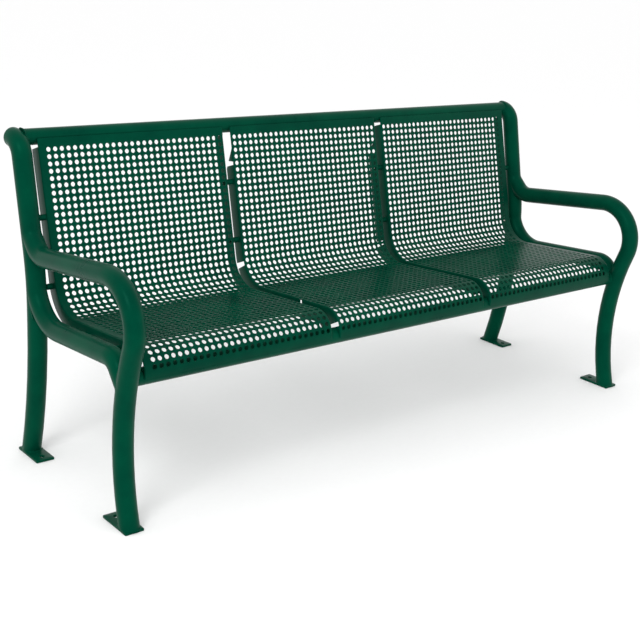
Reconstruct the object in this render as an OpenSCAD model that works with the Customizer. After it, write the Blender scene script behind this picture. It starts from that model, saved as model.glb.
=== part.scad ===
// Park bench with a back and two arm loops, for bolting down on paving.
// Two bent-tube end frames carry three contoured sheet panels that share
// one continuous top rail and one continuous front rail.
// +X runs along the length, the sitter faces -Y, +Z is up.
// The origin is on the ground under the middle of the bench.

/* [Overall] */
// distance between the middle planes of the two end frames
frame_spacing = 1800; // [1440:10:2160]
// height of the top of the posts above the ground
back_height = 858; // [780:1:980]
// length of the flat of the seat, front to back
seat_flat = 282; // [240:1:340]

/* [Tubes] */
// outer diameter of posts, legs, arms and seat rails
tube_d = 50.8; // [44:0.2:56]
// wall of every tube
tube_wall = 3; // [2:0.5:4]
// outer diameter of the top rail and the front rail
cross_rail_d = 42.4; // [34:0.2:46]

/* [Frame bends] */
// lean of the back posts from upright, in degrees
post_lean = 12.5; // [10.5:0.5:14.5]
// centre-line radius of the curl at the top of each post
curl_r = 50; // [42:1:60]
// centre-line radius of the large bend at the front of each arm
arm_bend_r = 110; // [92:1:132]
// fall of the arm towards the back, in degrees
arm_fall = 7; // [5:0.5:9]

/* [Panels] */
// finished thickness of the coated sheet
sheet_t = 3.5; // [2.5:0.5:4.5]
// clear gap between neighbouring panels
panel_gap = 26; // [18:1:34]
// depth of the folded side flanges
flange_depth = 38; // [34:1:44]

/* [Feet] */
// length of each foot plate
foot_l = 110; // [92:1:134]
// thickness of each foot plate
foot_t = 6.4; // [5:0.1:12]
// diameter of the anchor hole in each foot plate
anchor_d = 14; // [10:0.5:17]

/* [Hidden] */
clear = 0.3;
hair = 0.1;
tube_r = tube_d / 2;
rail_r = cross_rail_d / 2;
frame_x = frame_spacing / 2;
below = 8;

// the side profile is drawn in Y and Z with the post upright at post_y,
// and profile_shift then centres the footprint on the origin
post_y = 219;
leg_r = 1380;
knee_z = 372;
post_bend_r = 650;
post_bend_z = 424;
front_leg_r = 700;
waist_y = -216.5;
waist_z = 210;
front_rake = 19.9;
seat_fall = 4.7;
back_lean = 14;

// a deeper seat moves everything at the front forward and slightly up
front_dy = -(seat_flat - 282) * cos(seat_fall);
front_dz = (seat_flat - 282) * sin(seat_fall);

// back post with its rear leg
leg_turn = asin((knee_z + below) / leg_r);
curl_turn = 90 - post_lean;
post_bend_top = post_bend_z + post_bend_r * sin(post_lean);
curl_z = back_height - tube_r - curl_r * (1 - sin(post_lean));
post_l = (curl_z - post_bend_top) / cos(post_lean);
post_top_y = post_y + post_bend_r * (1 - cos(post_lean)) + post_l * sin(post_lean);
curl_end_y = post_top_y + curl_r * cos(post_lean);
post_foot_y = post_y + leg_r * (1 - cos(leg_turn));
post_path = [
    [leg_r, -leg_turn],
    [post_bend_z - knee_z, 0],
    [post_bend_r, -post_lean],
    [post_l, 0],
    [curl_r, -curl_turn]
];

// arm and front leg
front_y = waist_y + front_dy;
foot_turn = asin((waist_z + below) / front_leg_r);
front_foot_y = front_y - front_leg_r * (1 - cos(foot_turn));
arm_turn = 90 + front_rake + arm_fall;
neck_l = 2;
neck_y = front_y - front_leg_r * (1 - cos(front_rake)) - neck_l * sin(front_rake);
arm_top_y = neck_y + arm_bend_r * (cos(front_rake) + sin(arm_fall));
arm_tail_y = 165 + 25.4 - tube_r;
arm_l = (arm_tail_y - arm_top_y) / cos(arm_fall);
arm_path = [
    [front_leg_r, foot_turn + front_rake],
    [neck_l, 0],
    [arm_bend_r, -arm_turn],
    [arm_l, 0],
    [60, 50],
    [41, 0]
];

// seat rail: rises out of the front leg, follows the seat, lifts into the post
rail_bend_r = 92.6 + tube_r;
rail_back_y = post_y + 7.7 - rail_bend_r * (1 + sin(seat_fall));
rail_back_z = 411.8 - tube_r;
rail_l = 255 - front_dy / cos(seat_fall);
rail_tuck = 50;
rail_rise_r = 50;
rail_front_y = rail_back_y - rail_l * cos(seat_fall);
rail_front_z = rail_back_z + rail_l * sin(seat_fall);
rail_bend_y = rail_front_y - rail_rise_r * (sin(seat_fall) + sin(rail_tuck));
rail_bend_z = rail_front_z - rail_rise_r * (cos(seat_fall) - cos(rail_tuck));
tuck_l = 52;
rail_start_y = rail_bend_y - tuck_l * cos(rail_tuck);
rail_start_z = rail_bend_z - tuck_l * sin(rail_tuck);
rail_path = [
    [tuck_l, 0],
    [rail_rise_r, -(rail_tuck + seat_fall)],
    [rail_l, 0],
    [rail_bend_r, 62 + seat_fall],
    [18, 0]
];

// panel contour: its seated surface, from the lower front edge to the top
front_bend_r = 60;
back_bend_r = 90;
panel_y = -238 + front_dy;
face_l = 9;
face_z = 374 + front_dz;
seat_y = panel_y + front_bend_r * (1 + sin(seat_fall));
seat_z = face_z + front_bend_r * cos(seat_fall);
bend_y = seat_y + seat_flat * cos(seat_fall) + back_bend_r * sin(seat_fall);
bend_z = seat_z - seat_flat * sin(seat_fall) + back_bend_r * cos(seat_fall);
back_y = bend_y + back_bend_r * cos(back_lean);
back_z = bend_z - back_bend_r * sin(back_lean);
top_rail_z = back_height - rail_r - 2.8;
back_l = (top_rail_z - back_z) / cos(back_lean);
panel_path = [
    [face_l, 0],
    [front_bend_r, -(90 + seat_fall)],
    [seat_flat, 0],
    [back_bend_r, 90 - back_lean + seat_fall],
    [back_l, 0]
];
function back_at(z) = back_y + (z - back_z) * tan(back_lean);
function seat_at(y) = seat_z - (y - seat_y) * tan(seat_fall);
function post_at(z) = z < post_bend_z ? post_y
    : z < post_bend_top ? post_y + (z - post_bend_z) ^ 2 / (2 * post_bend_r)
    : post_y + post_bend_r * (1 - cos(post_lean)) + (z - post_bend_top) * tan(post_lean);
function rear_leg_at(z) = post_y + leg_r * (1 - cos(asin((knee_z - z) / leg_r)));
function leg_at(z) = front_y - front_leg_r * (1 - cos(asin((z - waist_z) / front_leg_r)));
function rail_at(y) = rail_back_z + (rail_back_y - y) * tan(seat_fall);

top_rail_y = back_at(top_rail_z) + (sheet_t + clear + rail_r) / cos(back_lean);
front_rail_y = panel_y + sheet_t + clear + rail_r;
front_rail_z = 365 + front_dz;
cross_l = frame_spacing - tube_d - 2 * clear;

// panel widths, from the side play at the posts and the gaps
end_play = 18.6;
side_border = 6;
end_border = 21;
outer_top_z = back_height - 46;
inner_top_z = back_height - 83;
pattern_w = (frame_spacing - tube_d - 2 * (end_play + end_border + panel_gap)
    - 4 * side_border) / 3;
mid_half = pattern_w / 2 + side_border;
inner_x = mid_half + panel_gap;
outer_x = inner_x + side_border + pattern_w + end_border;

// bolts
bolt_d = 8;
bolt_hole = 9;
spacer_d = 16;
head_d = 14;
head_h = 4.4;
shank_in = 9;
nut_d = 13;
nut_h = 6.5;
// each row: Y, Z of a bolt that ties an outer flange to its end frame
frame_bolts = [
    [back_at(top_rail_z - 194) + 11.5, top_rail_z - 194],
    [post_at(467), 467],
    [40, rail_at(40)],
    [rail_front_y + 35, rail_at(rail_front_y + 35)]
];
// each row: Y, Z of a bolt that ties two neighbouring flanges together
gap_bolts = [
    [back_at(top_rail_z - 154) + 20, top_rail_z - 154],
    [back_at(back_z + 41.4) + 20, back_z + 41.4],
    [60, seat_at(60) - 20],
    [seat_y + 60, seat_at(seat_y + 60) - 20]
];

// feet and footprint
foot_w = tube_d;
foot_margin = 2;
rear_foot_y = rear_leg_at(foot_t) + tube_r + foot_margin - foot_l;
front_plate_y = leg_at(foot_t) - tube_r - foot_margin;
anchor_inset = 22;
profile_front = neck_y - arm_bend_r * (1 - cos(front_rake)) - tube_r;
cap_t = 3;
profile_shift = -(curl_end_y + cap_t + profile_front) / 2;

// stands a drawing made in (Y, Z) upright; its third axis becomes X
module upright(y, z, heading) {
    translate([0, profile_shift, 0])
    rotate([90, 0, 90])
    translate([y, z, 0])
    rotate([0, 0, heading])
    children();
}

// carries the flat outline in children() along a path of straights and bends;
// each leg is [length, 0] or [bend radius, turn to the left in degrees], and
// bends are drawn a hair slimmer ($over) than straights so that they always join
module run(path, i = 0) {
    if (i < len(path)) {
        size = path[i][0];
        turn = path[i][1];
        side = sign(turn) * size;
        fine = size > 300 ? 360 : 96;
        $over = turn == 0 ? 0 : -hair;
        if (turn == 0) {
            translate([-2 * hair, 0, 0])
            rotate([90, 0, 90])
            linear_extrude(size + 4 * hair)
            children();
            translate([size, 0, 0]) run(path, i + 1) children();
        } else {
            translate([0, side, 0])
            rotate([0, 0, turn > 0 ? -90 : 90 + turn])
            rotate_extrude(angle = abs(turn), $fn = fine)
            translate([size, 0])
            mirror([turn > 0 ? 1 : 0, 0])
            children();
            translate([0, side, 0])
            rotate([0, 0, turn])
            translate([0, -side, 0])
            run(path, i + 1) children();
        }
    }
}

// a round bar or tube along a path, in the plane of the right end frame
module bent(path, y, z, heading, r, bore) {
    upright(y, z, heading)
    translate([0, 0, frame_x])
    run(path)
    difference() {
        circle(r + $over, $fn = 48);
        if (bore > 0) circle(bore - $over, $fn = 48);
    }
}

// cut that copes a tube end to a post or leg that runs through a point of the
// right end frame; nothing is left beyond it, on its right (-1) or left (1)
module cope(y, z, heading, beyond) {
    upright(y, z, heading)
    translate([-110, 0, frame_x]) {
        rotate([0, 90, 0])
        cylinder(h = 260, r = tube_r + clear, $fn = 48);
        translate([0, beyond < 0 ? -80 : 0, -tube_r - clear])
        cube([260, 80, 2 * (tube_r + clear)]);
    }
}

// rods along X at (Y, Z) spots, from x0 to x1
module rods(spots, x0, x1, d) {
    for (spot = spots)
        translate([x0, spot[0] + profile_shift, spot[1]])
        rotate([0, 90, 0])
        cylinder(h = x1 - x0, d = d, $fn = 32);
}

module ground_cut() {
    translate([frame_x - 60, -600, foot_t - 60]) cube([120, 1200, 60]);
}

module bolt_cut() {
    rods(frame_bolts, frame_x - tube_r - 2, frame_x - tube_r + 8, bolt_hole);
}

// back post and rear leg in one tube, curled back at the top
module post() {
    color("darkgreen")
    difference() {
        bent(post_path, post_foot_y, -below, 90 + leg_turn, tube_r, tube_r - tube_wall);
        ground_cut();
        bolt_cut();
    }
}

// arm and front leg in one tube; its tail is coped to the post
module arm() {
    color("darkgreen")
    difference() {
        bent(arm_path, front_foot_y, -below, 90 - foot_turn, tube_r, tube_r - tube_wall);
        ground_cut();
        cope(post_at(post_bend_top), post_bend_top, 90 - post_lean, -1);
    }
}

// seat rail, coped to the post behind and to the leg in front
module seat_rail() {
    color("darkgreen")
    difference() {
        bent(rail_path, rail_start_y, rail_start_z, rail_tuck, tube_r, tube_r - tube_wall);
        cope(post_at(450), 450, 90 - 2.3, -1);
        cope(leg_at(372), 372, 90 + asin((372 - waist_z) / front_leg_r), 1);
        bolt_cut();
    }
}

// flat foot plate from y0 towards the back, with its anchor hole at hole_y
module foot(y0, hole_y) {
    color("green")
    difference() {
        translate([frame_x - foot_w / 2, y0 + profile_shift, 0])
        cube([foot_w, foot_l, foot_t]);
        translate([frame_x, hole_y + profile_shift, -1])
        cylinder(h = foot_t + 2, d = anchor_d, $fn = 48);
    }
}

module rear_foot() {
    foot(rear_foot_y, rear_foot_y + anchor_inset);
}

module front_foot() {
    foot(front_plate_y, front_plate_y + foot_l - anchor_inset);
}

// cross rail between the end frames
module cross_rail(y, z) {
    color("seagreen")
    difference() {
        rods([[y, z]], -cross_l / 2, cross_l / 2, cross_rail_d);
        rods([[y, z]], -cross_l / 2 - 1, cross_l / 2 + 1, cross_rail_d - 2 * tube_wall);
    }
}

module top_rail() {
    cross_rail(top_rail_y, top_rail_z);
}

module front_rail() {
    cross_rail(front_rail_y, front_rail_z);
}

// cut that shapes the upper end of the flange between x0 and x1
module flange_top(x0, x1, z, slope) {
    upright(back_at(z), z, 90 - back_lean)
    translate([0, 0, x0])
    linear_extrude(x1 - x0)
    polygon([
        [0, -sheet_t],
        [back_l, -sheet_t],
        [back_l, -flange_depth - 5],
        [-slope * (flange_depth + 5 - sheet_t), -flange_depth - 5]
    ]);
}

// relief slot across a side flange, cut outwards from the middle of a bend
module relief(y, z, angle, from, to, width, x0, x1) {
    upright(y, z, angle)
    translate([from, -width / 2, x0])
    cube([to - from, width, x1 - x0]);
}

// cuts at one side flange of a panel: its shaped top, its reliefs and its bolt
// holes; side is 1 where the flange faces an end frame, -1 where it faces the
// middle panel, and 0 on the middle panel, whose flanges are cut back the most
module flange_cuts(x0, x1, side) {
    flange_top(x0, x1, side == 0 ? inner_top_z : outer_top_z, side == 0 ? 1.6 : 0);
    rods([[front_rail_y, front_rail_z]], x0, x1, cross_rail_d + 2 * clear);
    rods(side == 1 ? frame_bolts : gap_bolts, x0, x1, bolt_hole);
    if (side >= 0)
        relief(panel_y + front_bend_r, face_z, 151, 8, front_bend_r - sheet_t, 11, x0, x1);
    if (side == 0)
        relief(bend_y, bend_z, -27, back_bend_r + sheet_t, 150, 12, x0, x1);
}

// contoured panel between x0 and x1; end_side is -1 or 1 for the panel whose
// left or right flange faces an end frame, and 0 for the middle one
module panel(x0, x1, end_side) {
    color("limegreen")
    difference() {
        upright(panel_y, face_z - face_l, 90)
        run(panel_path)
        union() {
            translate([-sheet_t - $over, x0 - $over])
            square([sheet_t + 2 * $over, x1 - x0 + 2 * $over]);
            translate([-flange_depth - $over, x0 - $over])
            square([flange_depth, sheet_t + 2 * $over]);
            translate([-flange_depth - $over, x1 - sheet_t - $over])
            square([flange_depth, sheet_t + 2 * $over]);
        }
        flange_cuts(x0 - 1, x0 + 20, -end_side);
        flange_cuts(x1 - 20, x1 + 1, end_side);
    }
}

// plug in the open end of each post curl
module post_cap() {
    color("dimgray")
    translate([frame_x, curl_end_y + profile_shift, back_height - tube_r])
    rotate([-90, 0, 0])
    cylinder(h = cap_t, r = tube_r, $fn = 48);
}

// sleeves between the end frames and the outer flanges
module frame_spacer() {
    color("darkseagreen")
    difference() {
        rods(frame_bolts, outer_x, frame_x - tube_r - clear, spacer_d);
        rods(frame_bolts, outer_x - 1, frame_x, bolt_hole);
    }
}

module frame_bolt() {
    color("silver") {
        rods(frame_bolts, outer_x - sheet_t - head_h, outer_x - sheet_t, head_d);
        rods(frame_bolts, outer_x - sheet_t - 0.01, frame_x - tube_r + shank_in - 2, bolt_d);
    }
}

// sleeves across the gaps between panels
module gap_spacer() {
    color("darkseagreen")
    difference() {
        rods(gap_bolts, mid_half, inner_x, spacer_d);
        rods(gap_bolts, mid_half - 1, inner_x + 1, bolt_hole);
    }
}

module gap_bolt() {
    color("silver") {
        rods(gap_bolts, mid_half - sheet_t - head_h, mid_half - sheet_t, head_d);
        rods(gap_bolts, mid_half - sheet_t - 0.01, inner_x + sheet_t + nut_h + 2, bolt_d);
    }
}

module gap_nut() {
    color("silver")
    for (spot = gap_bolts)
        translate([inner_x + sheet_t, spot[0] + profile_shift, spot[1]])
        rotate([0, 90, 0])
        difference() {
            cylinder(h = nut_h, d = nut_d / cos(30), $fn = 6);
            translate([0, 0, -1]) cylinder(h = nut_h + 2, d = bolt_d + 0.2, $fn = 32);
        }
}

module on_left() {
    mirror([1, 0, 0]) children();
}

on_left() post();  // left_post
post();  // right_post
on_left() arm();  // left_arm
arm();  // right_arm
on_left() seat_rail();  // left_seat_rail
seat_rail();  // right_seat_rail
on_left() rear_foot();  // left_rear_foot
rear_foot();  // right_rear_foot
on_left() front_foot();  // left_front_foot
front_foot();  // right_front_foot
top_rail();
front_rail();
panel(-outer_x, -inner_x, -1);  // left_panel
panel(-mid_half, mid_half, 0);  // middle_panel
panel(inner_x, outer_x, 1);  // right_panel
union() { post_cap(); on_left() post_cap(); }  // post_caps
union() { frame_spacer(); on_left() frame_spacer(); }  // frame_spacers
union() { frame_bolt(); on_left() frame_bolt(); }  // frame_bolts
union() { gap_spacer(); on_left() gap_spacer(); }  // gap_spacers
union() { gap_bolt(); on_left() gap_bolt(); }  // gap_bolts
union() { gap_nut(); on_left() gap_nut(); }  // gap_nuts
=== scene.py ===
import bpy
import numpy as np
from mathutils import Matrix, Vector


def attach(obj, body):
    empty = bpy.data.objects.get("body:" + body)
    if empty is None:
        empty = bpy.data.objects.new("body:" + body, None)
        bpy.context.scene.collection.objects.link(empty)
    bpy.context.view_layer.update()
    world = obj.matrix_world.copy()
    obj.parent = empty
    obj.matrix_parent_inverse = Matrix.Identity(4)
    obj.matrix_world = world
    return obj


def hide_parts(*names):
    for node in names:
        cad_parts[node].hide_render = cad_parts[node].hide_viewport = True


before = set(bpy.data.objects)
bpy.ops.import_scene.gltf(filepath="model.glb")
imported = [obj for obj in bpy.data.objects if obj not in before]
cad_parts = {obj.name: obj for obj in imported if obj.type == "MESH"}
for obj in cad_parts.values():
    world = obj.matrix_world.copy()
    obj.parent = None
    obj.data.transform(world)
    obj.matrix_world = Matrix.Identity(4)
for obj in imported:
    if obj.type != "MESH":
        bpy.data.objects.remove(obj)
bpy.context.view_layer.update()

# ---------------------------------------------------------------------------
# Ground, daylight and camera
# The bench stands on a plain pale floor under a broad soft sky, with one big
# soft light high on the left and a low one in front, as in a studio.


def linear(hex_colour):
    """sRGB hex to linear light.
    A channel c becomes c / 12.92 below 0.04045, else ((c + 0.055) / 1.055) to the power 2.4.
    """
    c = np.array([int(hex_colour[i : i + 2], 16) for i in (1, 3, 5)]) / 255
    c = np.where(c < 0.04045, c / 12.92, ((c + 0.055) / 1.055) ** 2.4)
    return (*c.tolist(), 1.0)


def add_node(tree, kind, settings=None, sockets=None):
    """Adds one shader node and sets its properties.
    Each socket named gets a value, or a link from the output that feeds it.
    """
    node = tree.nodes.new("ShaderNode" + kind)
    for name, value in (settings or {}).items():
        setattr(node, name, value)
    for name, value in (sockets or {}).items():
        if isinstance(value, bpy.types.NodeSocket):
            tree.links.new(value, node.inputs[name])
        else:
            node.inputs[name].default_value = value
    return node


def new_material(name):
    """An empty node material."""
    material = bpy.data.materials.new(name)
    material.use_nodes = True
    material.node_tree.nodes.clear()
    return material


scene = bpy.context.scene
scene.view_settings.view_transform = "Standard"

floor_paint = new_material("white_floor_matt_paint")
tree = floor_paint.node_tree
place = add_node(tree, "TexCoord").outputs["Object"]
grain = add_node(tree, "TexNoise", sockets={"Vector": place, "Scale": 60.0, "Detail": 3.0})
tint = add_node(
    tree, "MapRange", sockets={"Value": grain.outputs["Fac"], "To Min": 0.93, "To Max": 0.96}
)
paint = add_node(
    tree,
    "BsdfPrincipled",
    sockets={"Base Color": tint.outputs["Result"], "Roughness": 0.9, "Specular IOR Level": 0.1},
)
add_node(tree, "OutputMaterial", sockets={"Surface": paint.outputs["BSDF"]})

ground_half = 40.0
ground_mesh = bpy.data.meshes.new("studio_floor")
ground_mesh.from_pydata(
    [(x, y, 0.0) for x, y in ((-1, -1), (1, -1), (1, 1), (-1, 1))], [], [(0, 1, 2, 3)]
)
ground_mesh.transform(Matrix.Diagonal((ground_half, ground_half, 1, 1)))
ground_mesh.materials.append(floor_paint)
ground = bpy.data.objects.new("studio_floor", ground_mesh)
scene.collection.objects.link(ground)

sky = bpy.data.worlds.new("studio_sky")
sky.use_nodes = True
sky_light = sky.node_tree.nodes["Background"].inputs
sky_light["Color"].default_value = (1, 1, 1, 1)
sky_light["Strength"].default_value = 1.05
scene.world = sky


def soft_light(name, where, towards, width, height, power):
    """A rectangular area light at a point, turned to face another."""
    light = bpy.data.lights.new(name, "AREA")
    light.shape = "RECTANGLE"
    light.size, light.size_y, light.energy = width, height, power
    lamp = bpy.data.objects.new(name, light)
    scene.collection.objects.link(lamp)
    ray = Vector(where) - Vector(towards)
    lamp.matrix_world = Matrix.Translation(where) @ ray.to_track_quat("Z", "Y").to_matrix().to_4x4()


soft_light("high_left_softbox", (-3.2, -1.6, 3.2), (0, 0, 0.4), width=1.5, height=1.5, power=60)
soft_light("low_front_softbox", (1.2, -4.5, 1.6), (0.2, 0, 0.5), width=2.5, height=1.5, power=14)

camera_data = bpy.data.cameras.new("camera")
camera_data.sensor_width = 36.0
camera_data.lens = 64.27
camera = bpy.data.objects.new("camera", camera_data)
scene.collection.objects.link(camera)
camera_place = (-2.12669, -2.37524, 1.33406)
rightward = (0.77520891, -0.62906516, 0.0576903)
upward = (0.15422253, 0.27702761, 0.94840451)
forward = (0.61259004, 0.72631448, -0.31177029)
backward = tuple(-c for c in forward)
turn_matrix = Matrix((rightward, upward, backward)).transposed().to_4x4()
camera.matrix_world = Matrix.Translation(camera_place) @ turn_matrix
scene.camera = camera

# ---------------------------------------------------------------------------
# Back posts with their rear legs
# Each is one 2 inch steel tube: the leg flares back to the ground, the post
# leans back, and the top is rolled into a curl. The whole frame is dipped in
# a thick dark green coating that softens every edge.

profile_shift = -22.992
frame_x = 900.0
tube_r, tube_sides = 25.4, 48
plate_top = 6.4
plate_bead = 4.5


def walk(start, heading, legs, arc_step=3.0, straight_step=40.0):
    """Centre line in the plane of an end frame, as (Y, Z) in mm, with headings in radians.
    A straight leg is (length, 0). An arc is (radius, turn in degrees), and runs as its
    centre plus the radius times (sin, -cos) of the heading.
    """
    here, angle = np.array(start, float), np.radians(heading)
    points, angles = [here[None]], [np.array([angle])]
    for size, turn in legs:
        if turn == 0:
            t = np.linspace(0, 1, max(1, int(size / straight_step)) + 1)[1:, None]
            leg = here + t * size * np.array([np.cos(angle), np.sin(angle)])
            turned = np.full(len(t), angle)
        else:
            t = np.linspace(0, 1, max(2, int(abs(turn) / arc_step)) + 1)[1:]
            side = np.sign(turn) * size
            centre = here + side * np.array([-np.sin(angle), np.cos(angle)])
            turned = angle + np.radians(turn) * t
            leg = centre + side * np.stack([np.sin(turned), -np.cos(turned)], 1)
        points.append(leg)
        angles.append(turned)
        here, angle = leg[-1], turned[-1]
    return np.concatenate(points), np.concatenate(angles)


def skin(rows, columns, wrap_rows=False):
    """Quads that join each point of a grid to its next row and column.
    The last column is joined to the first, and the last row too if asked.
    """
    index = np.arange(rows * columns).reshape(rows, columns)
    if wrap_rows:
        index = np.vstack([index, index[:1]])
    index = np.hstack([index, index[:, :1]])
    corners = [index[:-1, :-1], index[1:, :-1], index[1:, 1:], index[:-1, 1:]]
    return np.stack(corners, -1).reshape(-1, 4)


def closed_ends(grid):
    """A tube-like shell from a grid of rings: its wall, with a fan over each end ring."""
    rows, columns = grid.shape[:2]
    middles = np.stack([grid[0].mean(0), grid[-1].mean(0)])
    points = np.concatenate([grid.reshape(-1, 3), middles])
    ring = np.arange(columns)
    after = np.roll(ring, -1)
    last = (rows - 1) * columns
    first_fan = np.stack([ring, after, np.full(columns, rows * columns)], 1)
    last_fan = np.stack([after + last, ring + last, np.full(columns, rows * columns + 1)], 1)
    faces = skin(rows, columns).tolist() + first_fan.tolist() + last_fan.tolist()
    return points, faces


def closed_loop(grid):
    """A ring-like shell from a grid of rings, the last of which joins the first."""
    return grid.reshape(-1, 3), skin(*grid.shape[:2], wrap_rows=True).tolist()


def in_space(points):
    """Points (Y, Z) of an end frame's plane, in space."""
    return np.stack([np.full(len(points), frame_x), points[:, 0] + profile_shift, points[:, 1]], 1)


def tube(line, angles):
    """Rings of a tube: centre + tube_r x (cos around x in-plane normal + sin around x X)."""
    around = np.linspace(0, 2 * np.pi, tube_sides, endpoint=False)
    normal = np.stack([np.zeros_like(angles), -np.sin(angles), np.cos(angles)], 1)
    across = np.array([1.0, 0, 0])
    return in_space(line)[:, None] + tube_r * (
        np.cos(around)[None, :, None] * normal[:, None] + np.sin(around)[None, :, None] * across
    )


def slide_to_plate(rings, angles):
    """The first ring of a leg, slid along the leg until all of it lies on the foot plate."""
    along = np.array([0.0, np.cos(angles[0]), np.sin(angles[0])])
    rings[0] -= along * ((rings[0][:, 2:] - plate_top) / along[2])
    return rings


def weld(foot, up_branch, over_main, leg, sink=1.2, seat=None):
    """A smooth fillet round a joint, as a closed loop of sections.
    A section is a curve from a = foot + leg x up_branch to b = foot + leg x over_main that
    bends towards the foot, (1-t)^2 a + 2t(1-t) foot + t^2 b. Three points sunk into the
    tubes close it, and seat moves b to the surface that it lies on.
    """
    a = foot + leg * up_branch
    b = foot + leg * over_main
    if seat is not None:
        b = seat(b)
    t = np.linspace(0, 1, 8)[:, None, None]
    curve = (1 - t) ** 2 * a + 2 * t * (1 - t) * foot + t**2 * b
    inner = np.stack([b - sink * up_branch, foot - sink * (up_branch + over_main), a - sink * over_main])
    return closed_loop(np.concatenate([curve, inner]))


def plate_weld(rings, angles):
    """The fillet between the foot of a leg and its plate, which is only as wide as the leg."""
    along = np.array([0.0, np.cos(angles[0]), np.sin(angles[0])])
    foot = rings[0]
    out = foot - foot.mean(0)
    out[:, 2] = 0
    out /= np.linalg.norm(out, axis=1, keepdims=True)
    inset = 0.1

    def seat(points):
        """Lays points on the plate, just inside its long sides."""
        x = np.clip(points[:, 0], frame_x - tube_r + inset, frame_x + tube_r - inset)
        return np.column_stack([x, points[:, 1], np.full(len(x), plate_top)])

    return weld(foot, np.broadcast_to(along, foot.shape), out, plate_bead, seat=seat)


def mirrored(shell):
    """The same shell at the other end of the bench."""
    points, faces = shell
    return points * np.array([-1.0, 1, 1]), faces


def outward(shell):
    """Turns a closed shell's faces outwards: the sum of a . (b x c) over its triangles is positive."""
    points, faces = shell
    quads = np.array([(*f, f[-1])[:4] for f in faces])
    a, b, c, d = (points[quads[:, k]] for k in range(4))
    volume = (a * np.cross(b, c)).sum() + (a * np.cross(c, d)).sum()
    return (points, faces) if volume > 0 else (points, [f[::-1] for f in faces])


def piece(name, shells, material, node):
    """Joins closed shells in mm into one piece in metres that stands for a CAD node.
    It is shaded smooth, but for edges that turn by more than 40 degrees.
    """
    crease = np.radians(40)
    points, faces, base = [], [], 0
    for shell in shells:
        p, f = outward(shell)
        points.append(p)
        faces += [[i + base for i in face] for face in f]
        base += len(p)
    mesh = bpy.data.meshes.new(name)
    mesh.from_pydata((np.concatenate(points) * 0.001).tolist(), [], faces)
    mesh.validate()
    mesh.shade_smooth()
    mesh.set_sharp_from_angle(angle=crease)
    mesh.materials.append(material)
    made = bpy.data.objects.new(name, mesh)
    scene.collection.objects.link(made)
    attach(made, "root")
    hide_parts(node)


# Dip-coated steel: a soft glossy thermoplastic skin about half a millimetre
# thick. It shows a faint orange peel a few millimetres across, slow changes
# of gloss over a hand's breadth and fine dulled scuffs. Its reflection is set
# far below that of a real coating, and tinted green, because all that lies
# round the bench here is bright white.
def dipped_green(name, deep, fresh, gloss, peel_depth):
    """Thick dip coating in two close greens, with orange peel, gloss drift and pale dull scuffs."""
    material = new_material(name)
    tree = material.node_tree
    place = add_node(tree, "TexCoord").outputs["Object"]
    peel = add_node(
        tree, "TexNoise", sockets={"Vector": place, "Scale": 320.0, "Detail": 2.0, "Roughness": 0.5}
    )
    drift = add_node(
        tree, "TexNoise", sockets={"Vector": place, "Scale": 9.0, "Detail": 4.0, "Roughness": 0.6}
    )
    scuffs = add_node(
        tree, "TexNoise", sockets={"Vector": place, "Scale": 70.0, "Detail": 8.0, "Roughness": 0.75}
    )
    scuffed = add_node(
        tree,
        "MapRange",
        sockets={"Value": scuffs.outputs["Fac"], "From Min": 0.62, "From Max": 0.8},
    )
    shade = add_node(
        tree,
        "MapRange",
        sockets={"Value": drift.outputs["Fac"], "From Min": 0.35, "From Max": 0.65},
    )
    body = add_node(
        tree,
        "Mix",
        {"data_type": "RGBA"},
        {"Factor": shade.outputs["Result"], "A": linear(deep), "B": linear(fresh)},
    )
    lift = add_node(
        tree, "Math", {"operation": "MULTIPLY"}, {0: scuffed.outputs["Result"], 1: 0.25}
    )
    worn = add_node(
        tree,
        "Mix",
        {"data_type": "RGBA"},
        {"Factor": lift.outputs["Value"], "A": body.outputs["Result"], "B": linear("#14604a")},
    )
    dull = add_node(
        tree,
        "MapRange",
        sockets={
            "Value": drift.outputs["Fac"],
            "From Min": 0.3,
            "From Max": 0.7,
            "To Min": gloss,
            "To Max": gloss + 0.08,
        },
    )
    rough = add_node(
        tree,
        "Math",
        {"operation": "MULTIPLY_ADD"},
        {0: scuffed.outputs["Result"], 1: 0.2, 2: dull.outputs["Result"]},
    )
    bump = add_node(
        tree,
        "Bump",
        sockets={"Height": peel.outputs["Fac"], "Distance": peel_depth, "Strength": 0.5},
    )
    coat = add_node(
        tree,
        "BsdfPrincipled",
        sockets={
            "Base Color": worn.outputs["Result"],
            "Roughness": rough.outputs["Value"],
            "Specular IOR Level": 0.08,
            "Specular Tint": linear("#4fd6ae"),
            "Normal": bump.outputs["Normal"],
        },
    )
    add_node(tree, "OutputMaterial", sockets={"Surface": coat.outputs["BSDF"]})
    return material


frame_coating = dipped_green("pvc_dip_coated_steel_tube", "#003728", "#00412e", 0.26, 0.00025)

knee_z, leg_bend_r, post_y = 372.0, 1380.0, 219.0
leg_turn = np.degrees(np.arcsin((knee_z - plate_top) / leg_bend_r))
rear_foot_y = post_y + leg_bend_r * (1 - np.cos(np.radians(leg_turn)))
post_legs = [(leg_bend_r, -leg_turn), (52, 0), (650, -12.5), (234.29, 0), (50, -77.5)]
post_line, post_angles = walk((rear_foot_y, plate_top), 90 + leg_turn, post_legs)
post_rings = slide_to_plate(tube(post_line, post_angles), post_angles)
post_shells = [closed_ends(post_rings), plate_weld(post_rings, post_angles)]
piece("right_post_tube", post_shells, frame_coating, "right_post")
piece("left_post_tube", map(mirrored, post_shells), frame_coating, "left_post")

# ---------------------------------------------------------------------------
# Arms with their front legs
# One tube again: the leg bows, turns over in a large bend and runs back as
# the arm, where its coped end is welded to the post.

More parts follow.
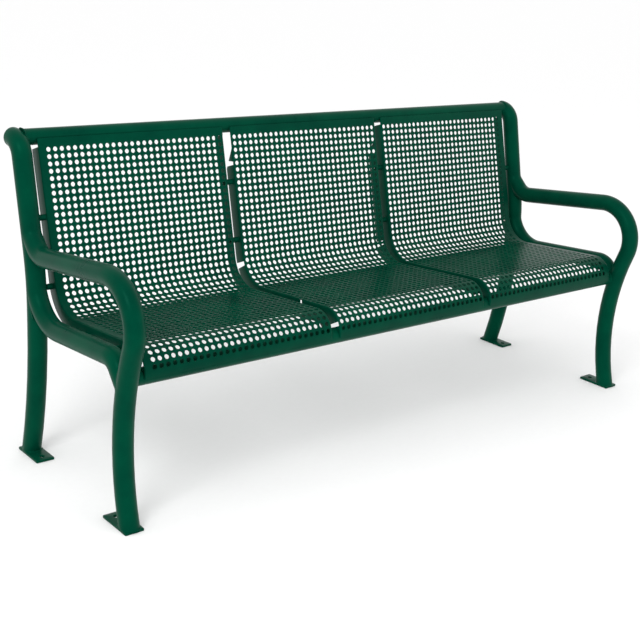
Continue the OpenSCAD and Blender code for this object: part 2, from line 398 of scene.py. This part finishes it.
cope_reach, post_bead, leg_bead = 60.0, 7.0, 6.0
waist_y, waist_z, front_leg_r = -216.5, 210.0, 700.0
foot_turn = np.degrees(np.arcsin((waist_z - plate_top) / front_leg_r))
front_foot_y = waist_y - front_leg_r * (1 - np.cos(np.radians(foot_turn)))
arm_legs = [(front_leg_r, foot_turn + 19.9), (2, 0), (110, -116.9), (309.448, 0), (60, 50), (41, 0)]
arm_line, arm_angles = walk((front_foot_y, plate_top), 90 - foot_turn, arm_legs)


def finely(line):
    """The centre line as points in space about 1.5 mm apart, for measuring to."""
    spacing = 1.5
    gone = np.concatenate([[0], np.cumsum(np.linalg.norm(np.diff(line, axis=0), axis=1))])
    s = np.arange(0, gone[-1], spacing)
    return in_space(np.stack([np.interp(s, gone, line[:, k]) for k in (0, 1)], 1))


def over_tube(line):
    """A function that moves points to the surface of the tube round a centre line."""

    def seat(points):
        gap = np.linalg.norm(points[:, None] - line[None], axis=2)
        axis = line[gap.argmin(1)]
        out = points - axis
        return axis + tube_r * out / np.linalg.norm(out, axis=1, keepdims=True)

    return seat


def coped(centre, heading, reach, main):
    """Where the lines of a straight tube end first meet another tube of the same size.
    Each is followed from reach mm back until its distance from the other's centre line
    falls to tube_r, or is least. The ways back up the tube and out over the other one,
    which a weld spreads along, are given too.
    """
    past_end, search_margin, samples = 5.0, 60.0, 160
    along = np.array([0.0, np.cos(heading), np.sin(heading)])
    normal = np.array([0.0, -np.sin(heading), np.cos(heading)])
    around = np.linspace(0, 2 * np.pi, tube_sides, endpoint=False)[:, None]
    out = np.cos(around) * normal + np.sin(around) * np.array([1.0, 0, 0])
    start = centre + tube_r * out - along * reach
    near = main[np.linalg.norm(main - centre, axis=1) < reach + search_margin]
    t = np.linspace(0, reach + past_end, samples)
    trail = start[:, None] + t[None, :, None] * along
    gap = np.linalg.norm(trail[:, :, None] - near[None, None], axis=3).min(2)
    hit = gap <= tube_r
    k = np.where(hit.any(1), hit.argmax(1), gap.argmin(1))
    foot = trail[np.arange(tube_sides), k]
    over = foot - near[np.linalg.norm(foot[:, None] - near[None], axis=2).argmin(1)]
    over /= np.linalg.norm(over, axis=1, keepdims=True)
    spread = out - (out * over).sum(1, keepdims=True) * over
    spread -= along * 1e-3
    spread /= np.linalg.norm(spread, axis=1, keepdims=True) + 1e-9
    return foot, np.broadcast_to(-along, foot.shape), spread


post_fine, arm_fine = finely(post_line), finely(arm_line)
arm_rings = slide_to_plate(tube(arm_line, arm_angles), arm_angles)
arm_joint = coped(in_space(arm_line)[-1], arm_angles[-1], cope_reach, post_fine)
arm_shells = [
    closed_ends(arm_rings),
    plate_weld(arm_rings, arm_angles),
    weld(*arm_joint, post_bead, seat=over_tube(post_fine)),
]
piece("right_arm_tube", arm_shells, frame_coating, "right_arm")
piece("left_arm_tube", map(mirrored, arm_shells), frame_coating, "left_arm")

# ---------------------------------------------------------------------------
# Seat rails
# A shorter tube of the same size rises out of each front leg, follows the
# side of the seat and lifts into the post. Both ends are coped and welded.

rail_legs = [(52, 0), (50, -54.7), (255, 0), (118, 66.7), (18, 0)]
rail_line, rail_angles = walk((-230.935, 349.768), 50, rail_legs)
rail_front, rail_back = in_space(rail_line)[[0, -1]]
front_joint = coped(rail_front, rail_angles[0] + np.pi, cope_reach, arm_fine)
back_joint = coped(rail_back, rail_angles[-1], cope_reach + 10, post_fine)
rail_shells = [
    closed_ends(tube(rail_line, rail_angles)),
    weld(*front_joint, leg_bead, seat=over_tube(arm_fine)),
    weld(*back_joint, post_bead, seat=over_tube(post_fine)),
]
piece("right_seat_rail_tube", rail_shells, frame_coating, "right_seat_rail")
piece("left_seat_rail_tube", map(mirrored, rail_shells), frame_coating, "left_seat_rail")

# ---------------------------------------------------------------------------
# Foot plates
# Flat steel plates cut to the width of the tube and welded under each leg;
# the free end has the hole for the anchor bolt. Coated with the frame.

foot_half, foot_l, anchor_r, anchor_inset = 25.4, 110.0, 7.0, 22.0


def foot_plate(y0, hole_y):
    """A plate with a drilled hole as a closed loop: hole wall, top, rounded edge, underside.
    The outline is a rectangle with 3 mm corners, and each of its points is joined to the
    hole point in the same direction.
    """
    corner, hole_chamfer, side_points = 3.0, 0.8, 6
    quarter = np.radians(np.linspace(0, 90, 5))

    def rounded(x, y, start):
        """A quarter circle about (x, y) from the start angle in degrees."""
        turn = quarter + np.radians(start)
        return np.stack([x + corner * np.cos(turn), y + corner * np.sin(turn)], 1)

    wide, far = foot_half - corner, foot_l - corner
    spots = [(wide, far, 0), (-wide, far, 90), (-wide, corner, 180), (wide, corner, 270)]
    corners = np.concatenate([rounded(*spot) for spot in spots])
    ahead = np.roll(corners, -1, 0)
    t = np.linspace(0, 1, side_points, endpoint=False)[None, :, None]
    on_side = np.linalg.norm(ahead - corners, axis=1) > corner
    sides = corners[:, None] + t * (ahead - corners)[:, None]
    outline = np.concatenate([row if straight else row[:1] for row, straight in zip(sides, on_side)])
    hole = np.array([0.0, hole_y - y0])
    away = outline - hole
    away /= np.linalg.norm(away, axis=1, keepdims=True)
    inward = np.array([0.0, foot_l / 2]) - outline
    inward /= np.linalg.norm(inward, axis=1, keepdims=True)
    rows = [
        (hole + anchor_r * away, 0.0),
        (hole + anchor_r * away, plate_top - hole_chamfer),
        (hole + (anchor_r + hole_chamfer) * away, plate_top),
        (outline + 1.6 * inward, plate_top),
        (outline + 0.5 * inward, plate_top - 0.4),
        (outline, plate_top - 1.4),
        (outline, 0.8),
        (outline + 0.8 * inward, 0.0),
    ]
    grid = np.stack([np.column_stack([xy, np.full(len(xy), z)]) for xy, z in rows])
    return closed_loop(grid + np.array([frame_x, y0 + profile_shift, 0.0]))


plate_margin = 2.0
rear_plate_y = rear_foot_y + tube_r + plate_margin - foot_l
front_plate_y = front_foot_y - tube_r - plate_margin
rear_plate = foot_plate(rear_plate_y, rear_plate_y + anchor_inset)
front_plate = foot_plate(front_plate_y, front_plate_y + foot_l - anchor_inset)
foot_plates = {
    "right_rear_foot": rear_plate,
    "right_front_foot": front_plate,
    "left_rear_foot": mirrored(rear_plate),
    "left_front_foot": mirrored(front_plate),
}
for name, plate in foot_plates.items():
    piece(name + "_plate", [plate], frame_coating, name)

# ---------------------------------------------------------------------------
# Post caps
# A shallow domed plug closes the curl at the top of each post.

dome = [(0.01, 3.0), (12, 3.0), (20, 2.9), (23.2, 2.5), (24.8, 1.6), (25.3, 0.7)]
plug = [(24.7, 0.1), (23.8, -0.3), (23.8, -6), (0.01, -6)]


def turned(section, spot):
    """A turned shell: each (radius, height) is carried round the axis that leaves the spot along Y."""
    around = np.linspace(0, 2 * np.pi, tube_sides, endpoint=False)
    section = np.array(section)
    r, h = section[:, :1], section[:, 1:] + np.zeros(tube_sides)
    return closed_ends(np.stack([r * np.cos(around), h, r * np.sin(around)], -1) + spot)


post_cap = turned(dome + plug, in_space(post_line)[-1])
piece("post_curl_caps", [post_cap, mirrored(post_cap)], frame_coating, "post_caps")

# ---------------------------------------------------------------------------
# Top rail and front rail
# Two continuous tubes run the length of the bench and carry the panels. Their
# ends are coped to the end frames and welded all round.

cross_r, cross_bead = 21.2, 4.0
cross_back, post_top_z = 315.1, 857.8
top_y, top_z = 317.041, 834.0
front_y, front_z = -213.0, 365.0


def cross_rail(y, z, lines):
    """A straight tube along X whose end rings follow the round sides of the tubes they meet.
    There x = frame_x - sqrt(tube_r^2 - d^2), d being the distance to the nearest centre line,
    and never nearer than 16 mm to the middle of the end frame.
    """
    least_gap, rings, last_ring = 16.0, 25, 0.96
    around = np.linspace(0, 2 * np.pi, tube_sides, endpoint=False)
    out = np.stack([np.zeros(tube_sides), np.cos(around), np.sin(around)], 1)
    ring = np.array([0.0, y + profile_shift, z]) + cross_r * out
    near = np.concatenate(lines)[:, 1:]

    def end_x(points):
        """Where lines along X through the points reach the end frame."""
        d = np.linalg.norm(points[:, None, 1:] - near[None], axis=2).min(1)
        return np.minimum(frame_x - np.sqrt(np.clip(tube_r**2 - d**2, 0, None)), frame_x - least_gap)

    foot = ring.copy()
    foot[:, 0] = end_x(ring)
    stations = np.concatenate([[-1.0], np.linspace(-last_ring, last_ring, rings), [1.0]])
    grid = np.repeat(ring[None], len(stations), 0)
    grid[:, :, 0] = stations[:, None] * foot[None, :, 0]

    def seat(points):
        """Lays the bead on the end frame, inside the outline of the bench."""
        points = np.minimum(points, [frame_x, cross_back, post_top_z])
        points[:, 0] = end_x(points)
        return points

    bead = weld(foot, np.broadcast_to([-1.0, 0, 0], foot.shape), out, cross_bead, seat=seat)
    return [closed_ends(grid), bead, mirrored(bead)]


rail_fine = finely(rail_line)
piece("top_rail_tube", cross_rail(top_y, top_z, [post_fine]), frame_coating, "top_rail")
piece(
    "front_rail_tube",
    cross_rail(front_y, front_z, [arm_fine, rail_fine]),
    frame_coating,
    "front_rail",
)

# ---------------------------------------------------------------------------
# Seat and back panels
# Three steel sheets, punched all over with round holes, rolled into one curve
# from the front edge to the top of the back, and folded back at both sides.
# They are dipped like the frame, so each hole has a soft rounded rim.

sheet_t, fold = 3.5, 3.25
mid_half, inner_x, outer_x = 271.667, 297.667, 856.0
hole_rows, hole_columns, hole_r, rim, hole_sides = 46, 29, 6.1, 0.8, 12
hole_pitch = 2 * (mid_half - fold) / hole_columns
row_pitch, first_row = 18.4, 26.2
face_l, front_bend_r, seat_flat, back_bend_r, back_l = 9.0, 60.0, 282.0, 90.0, 366.264
seat_fall, back_lean = 4.7, 14.0
panel_legs = [
    (face_l, 0),
    (front_bend_r, -(90 + seat_fall)),
    (seat_flat, 0),
    (back_bend_r, 90 - back_lean + seat_fall),
    (back_l, 0),
]
face_y, face_top_z = -238.0, 374.0
curve, curve_angles = walk((face_y, face_top_z - face_l), 90, panel_legs, arc_step=0.5)
curve_s = np.concatenate([[0], np.cumsum(np.linalg.norm(np.diff(curve, axis=0), axis=1))])
curve_l = curve_s[-1]
bend_s = face_l + front_bend_r * np.radians(90 + seat_fall) + seat_flat


def on_panel(s, x, depth):
    """A point of a panel: curve(s) + depth x (sin, -cos) of the curve's heading, at x along the bench."""
    y, z, a = (np.interp(s, curve_s, v) for v in (curve[:, 0], curve[:, 1], curve_angles))
    return np.stack([x, y + depth * np.sin(a) + profile_shift, z - depth * np.cos(a)], -1)


def punched_sheet(x_low, x_high, first_column):
    """A sheet with round holes as one closed shell, in (x, s, depth).
    Each cell joins 12 points of its square to four rings of its hole, front to back, with a
    chamfered rim. Plain strips fill the borders, and the end edges are half round.
    """
    half_step = 180 / hole_sides
    around = np.radians(half_step * (1 + 2 * np.arange(hole_sides)))
    ring = np.stack([np.cos(around), np.sin(around)], 1)
    square = ring / np.abs(ring).max(1, keepdims=True)
    half = np.array([hole_pitch, row_pitch]) / 2
    levels = [
        (square * half, 0),
        (ring * (hole_r + rim), 0),
        (ring * hole_r, rim),
        (ring * hole_r, sheet_t - rim),
        (ring * (hole_r + rim), sheet_t),
        (square * half, sheet_t),
    ]
    cell = np.stack([np.column_stack([xy, np.full(hole_sides, d)]) for xy, d in levels])
    quads = cell.reshape(-1, 3)[skin(len(levels), hole_sides)][:, ::-1]
    x_mid = first_column + hole_pitch * np.arange(hole_columns)
    s_mid = first_row + row_pitch * np.arange(hole_rows)
    middle = np.stack(np.meshgrid(x_mid, s_mid, [0.0], indexing="ij"), -1).reshape(-1, 1, 1, 3)
    faces = [(middle + quads).reshape(-1, 4, 3)]

    corner_share = np.tan(np.radians(half_step))
    parts = np.array([-1, -corner_share, corner_share, 1])
    x_cells = (x_mid[:, None] + parts * half[0]).ravel()
    s_cells = (s_mid[:, None] + parts * half[1]).ravel()
    ends = sheet_t / 2, curve_l - sheet_t / 2
    x_lines = np.unique(np.round(np.concatenate([[x_low, x_high], x_cells]), 2))
    s_lines = np.unique(np.round(np.concatenate([ends, s_cells]), 2))
    lip = [(0, 0), (-1.2, 0.5), (-sheet_t / 2, sheet_t / 2), (-1.2, sheet_t - 0.5), (0, sheet_t)]

    def strip(x0, x1, s0, s1):
        """Front and back quads between grid lines."""
        hair = 0.01
        xs = x_lines[(x_lines > x0 - hair) & (x_lines < x1 + hair)]
        ss = s_lines[(s_lines > s0 - hair) & (s_lines < s1 + hair)]
        if len(xs) < 2 or len(ss) < 2:
            return
        a, c = np.meshgrid(xs[:-1], ss[:-1], indexing="ij")
        b, d = np.meshgrid(xs[1:], ss[1:], indexing="ij")
        corners = [np.stack(pair, -1) for pair in ((a, c), (b, c), (b, d), (a, d))]
        front = np.stack(corners, -2).reshape(-1, 4, 2)
        for depth, order in ((0.0, 1), (sheet_t, -1)):
            depths = np.full((*front.shape[:2], 1), depth)
            faces.append(np.concatenate([front, depths], 2)[:, ::order])

    strip(x_lines[0], x_cells[0], s_lines[0], s_lines[-1])
    strip(x_cells[-1], x_lines[-1], s_lines[0], s_lines[-1])
    strip(x_cells[0], x_cells[-1], s_lines[0], s_cells[0])
    strip(x_cells[0], x_cells[-1], s_cells[-1], s_lines[-1])

    def edge(points, order):
        """Quads that close the wall between neighbouring rows of points."""
        grid = np.stack(points)
        quads = [grid[:-1, :-1], grid[:-1, 1:], grid[1:, 1:], grid[1:, :-1]]
        faces.append(np.stack(quads, -2).reshape(-1, 4, 3)[:, ::order])

    def line(x, s, depth):
        """Points along x or along s, at a depth."""
        return np.stack(np.broadcast_arrays(x, s, depth), -1).astype(float)

    for s_end, way in ((s_lines[-1], 1), (s_lines[0], -1)):
        edge([line(x_lines, s_end - way * ds, d) for ds, d in lip], way)
    for x_end, way in ((x_lines[0], 1), (x_lines[-1], -1)):
        edge([line(x_end, s_lines, d) for d in (0.0, sheet_t)], way)
        for s_end, up in ((s_lines[-1], 1), (s_lines[0], -1)):
            rim_points = np.stack([line(x_end, s_end - up * ds, d) for ds, d in lip])
            faces.append(rim_points[[0, 1, 3, 4]][None, :: way * up])
            faces.append(rim_points[[1, 2, 3, 3]][None, :: way * up])

    corners = np.concatenate(faces)
    key = np.round(corners.reshape(-1, 3) * 100).astype(int)
    kept, index = np.unique(key, axis=0, return_inverse=True)
    x, s, depth = (kept / 100).T
    return on_panel(s, x, depth), [list(dict.fromkeys(f)) for f in index.reshape(-1, 4).tolist()]


flange_deep, rail_clear = 38.0, cross_r + 0.3
relief_at, relief_half, relief_span = 29.0, 5.5, 0.5
slit_at, slit_half, slit_s = 27.0, 6.0, bend_s + 106.3
end_top_cut, middle_top_cut, middle_slope = 22.0, 59.0, 1.6


def flange_depth(s, facing):
    """How deep a side flange is along the curve.
    It is full depth, less the cut over the front rail, a relief slot in the front bend,
    front_bend_r - relief_half / sin of the angle from it, and the cut at the top. Facing is
    1 on the flange beside an end frame, -1 on an end panel's inner flange, which has no
    slot, and 0 on the middle panel's, which also have a slit in the back bend and a long
    slope at the top.
    """
    point = on_panel(s, np.zeros_like(s), np.zeros_like(s))[:, 1:]
    inward = on_panel(s, np.zeros_like(s), np.ones_like(s))[:, 1:] - point
    to_rail = np.array([front_y + profile_shift, front_z]) - point
    along = (to_rail * inward).sum(1)
    off = np.linalg.norm(to_rail - along[:, None] * inward, axis=1)
    over_rail = along - np.sqrt(np.clip(rail_clear**2 - off**2, 0, None))
    depth = np.where(off < rail_clear, np.clip(over_rail, sheet_t, flange_deep), flange_deep)
    from_slot = np.radians(relief_at) - (s - face_l) / front_bend_r
    slot = front_bend_r - relief_half / np.maximum(np.abs(np.sin(from_slot)), 0.01)
    in_front = (s > face_l) & (np.abs(from_slot) < relief_span) & (facing >= 0)
    depth = np.where(in_front, np.minimum(depth, slot), depth)
    lean = np.cos(np.radians(back_lean))
    if facing:
        depth = np.where(s > curve_l - end_top_cut / lean, sheet_t, depth)
    else:
        from_slit = (s - bend_s) / back_bend_r - np.radians(90 + seat_fall - slit_at)
        off_slit = np.abs(np.sin(from_slit) * (back_bend_r + sheet_t))
        depth = np.where(off_slit < slit_half, sheet_t, depth)
        top = curve_l - middle_top_cut / lean
        depth = np.minimum(depth, np.where(s < top, sheet_t + (top - s) / middle_slope, sheet_t))
    return np.clip(depth, sheet_t, flange_deep)


def flange(x_edge, side, facing):
    """A folded side flange, as sections carried along the curve.
    A section is a quarter-round fold, the flat, a half-round edge and the way back up the
    inner side. Where there is no flange it flattens to a plain rounded edge.
    """
    stations, end_gap = 300, 1.0
    slit_edges = slit_s + np.array([-5.85, -5.7, 5.7, 5.85])
    s = np.unique(np.concatenate([np.linspace(end_gap, curve_l - end_gap, stations), slit_edges]))
    depth = flange_depth(s, facing)[:, None]
    none, mid_t = np.zeros_like(depth), sheet_t / 2
    r = np.clip(depth - mid_t, mid_t, fold)
    turn_in = np.radians([22.5, 45, 67.5, 90])
    flat = np.clip((depth - sheet_t) / 4, 0, 1)
    outer = [none - fold, -r + r * np.sin(turn_in), none]
    outer_d = [none, r - r * np.cos(turn_in), np.maximum(depth - 1.2, r + 0.01)]
    plain, folded = np.array([[-0.5, -mid_t, -2.6, -2.9, -3.1], [-0.5, -mid_t, -3, -sheet_t, -sheet_t]])
    inner = plain * (1 - flat) + folded * flat
    low = np.concatenate([depth - 0.35, depth, depth - 0.35, depth - 1.2, none + 4.6], 1)
    inner_d = np.array([3.15, 3.5, 3.4, 3.45, 3.5]) * (1 - flat) + low * flat
    x = np.concatenate([*outer, inner, none - fold], 1)
    d = np.concatenate([*outer_d, inner_d, none + sheet_t], 1)
    return closed_ends(on_panel(np.broadcast_to(s[:, None], x.shape), x_edge + side * x, d))


panel_coating = dipped_green("pvc_dip_coated_punched_sheet", "#003527", "#003f2d", 0.28, 0.0002)

end_panel = [
    punched_sheet(inner_x + fold, outer_x - fold, inner_x + fold + hole_pitch / 2),
    flange(inner_x, -1, -1),
    flange(outer_x, 1, 1),
]
middle_panel = [
    punched_sheet(-mid_half + fold, mid_half - fold, -mid_half + fold + hole_pitch / 2),
    flange(-mid_half, -1, 0),
    flange(mid_half, 1, 0),
]
piece("right_punched_panel", end_panel, panel_coating, "right_panel")
piece("left_punched_panel", map(mirrored, end_panel), panel_coating, "left_panel")
piece("middle_punched_panel", middle_panel, panel_coating, "middle_panel")

# ---------------------------------------------------------------------------
# Spacers, bolts and nuts
# Coated steel sleeves hold the flanges off the end frames and off each other.
# Stainless button-head bolts run through them, from inside the flanges.

head_h = 4.4
frame_spots = [(254.407, 640.0), (220.422, 467.0), (40.0, 391.253), (-120.111, 404.417)]
gap_spots = [(272.88, 680.0), (232.991, 520.016), (60.0, 394.635), (-113.084, 408.865)]


def turned_rings(section, hexed, x0, y, z):
    """Rings round an axis along X: each (radius, height) of the section carried round.
    Where hexed is 1 the radius is that of a hexagon, the half width over the cos of the
    angle from the middle of the flat.
    """
    sides = 36
    around = np.linspace(0, 2 * np.pi, sides, endpoint=False)
    flat = 1 / np.cos((around % np.radians(60)) - np.radians(30))
    section = np.array(section, float)
    r = section[:, :1] * np.where(np.array(hexed, bool)[:, None], flat, 1)
    h = section[:, 1:] + np.zeros(sides)
    rings = np.stack([h, r * np.cos(around), r * np.sin(around)], -1)
    return rings + np.array([x0, y + profile_shift, z])


def sleeve(x0, x1, y, z):
    """A 16 mm sleeve with a 9.2 mm hole and broken edges."""
    length = x1 - x0
    near_end = [(4.6, 0.3), (5.0, 0), (7.4, 0), (8, 0.6)]
    far_end = [(r, length - h) for r, h in reversed(near_end)]
    return closed_loop(turned_rings(near_end + far_end, [0] * 8, x0, y, z))


def button_bolt(x0, length, y, z):
    """A domed head with a hexagonal socket, and an 8 mm shank with a chamfered end."""
    socket = [(0.01, 2.6), (2.4, 2.5), (2.5, 0.5)]
    head = [(2.9, 0.1), (4.4, 0.3), (5.8, 1.1), (6.7, 2.4), (7, 3.7), (6.8, head_h)]
    shank = [(4.0, head_h), (4.0, length - 0.8), (3.3, length), (0.01, length)]
    hexed = [0, 1, 1] + [0] * 10
    return closed_ends(turned_rings(socket + head + shank, hexed, x0, y, z))


def hex_nut(x0, y, z):
    """A 13 mm nut: hexagonal sides with both ends turned round at the corners."""
    near_end = [(4.1, 0.5), (4.5, 0), (6.3, 0), (6.5, 0.7)]
    far_end = [(6.5, 5.8), (6.3, 6.5), (4.5, 6.5), (4.1, 6.0)]
    return closed_loop(turned_rings(near_end + far_end, [0, 0, 0, 1, 1, 0, 0, 0], x0, y, z))


# A2 stainless steel, cold headed: pale warm grey, half bright, with fine
# turning lines about a third of a millimetre apart and a few dull stains.
stainless = new_material("stainless_steel_cold_headed")
tree = stainless.node_tree
place = add_node(tree, "TexCoord").outputs["Object"]
lines_at = add_node(tree, "Mapping", sockets={"Vector": place, "Scale": (3000.0, 300.0, 300.0)})
lines = add_node(
    tree, "TexNoise", sockets={"Vector": lines_at.outputs["Vector"], "Scale": 1.0, "Detail": 2.0}
)
stains = add_node(tree, "TexNoise", sockets={"Vector": place, "Scale": 150.0, "Detail": 5.0})
steel_colour = add_node(
    tree,
    "Mix",
    {"data_type": "RGBA"},
    {"Factor": stains.outputs["Fac"], "A": linear("#c9c9c4"), "B": linear("#a3a29c")},
)
steel_rough = add_node(
    tree, "MapRange", sockets={"Value": stains.outputs["Fac"], "To Min": 0.18, "To Max": 0.42}
)
steel_bump = add_node(
    tree, "Bump", sockets={"Height": lines.outputs["Fac"], "Distance": 0.00003, "Strength": 0.4}
)
steel = add_node(
    tree,
    "BsdfPrincipled",
    sockets={
        "Base Color": steel_colour.outputs["Result"],
        "Metallic": 1.0,
        "Roughness": steel_rough.outputs["Result"],
        "Normal": steel_bump.outputs["Normal"],
    },
)
add_node(tree, "OutputMaterial", sockets={"Surface": steel.outputs["BSDF"]})


def both_ends(shells):
    """The shells and their mirror images."""
    return [*shells, *map(mirrored, shells)]


sleeve_gap, frame_bolt_l, nut_reach = 0.3, 33.5, 8.5
gap_bolt_l = head_h + 2 * sheet_t + (inner_x - mid_half) + nut_reach
spacer_end = frame_x - tube_r - sleeve_gap
piece(
    "frame_spacer_sleeves",
    both_ends([sleeve(outer_x, spacer_end, *spot) for spot in frame_spots]),
    frame_coating,
    "frame_spacers",
)
piece(
    "frame_button_bolts",
    both_ends([button_bolt(outer_x - sheet_t - head_h, frame_bolt_l, *spot) for spot in frame_spots]),
    stainless,
    "frame_bolts",
)
piece(
    "gap_spacer_sleeves",
    both_ends([sleeve(mid_half, inner_x, *spot) for spot in gap_spots]),
    frame_coating,
    "gap_spacers",
)
piece(
    "gap_button_bolts",
    both_ends([button_bolt(mid_half - sheet_t - head_h, gap_bolt_l, *spot) for spot in gap_spots]),
    stainless,
    "gap_bolts",
)
piece(
    "gap_hex_nuts",
    both_ends([hex_nut(inner_x + sheet_t, *spot) for spot in gap_spots]),
    stainless,
    "gap_nuts",
)
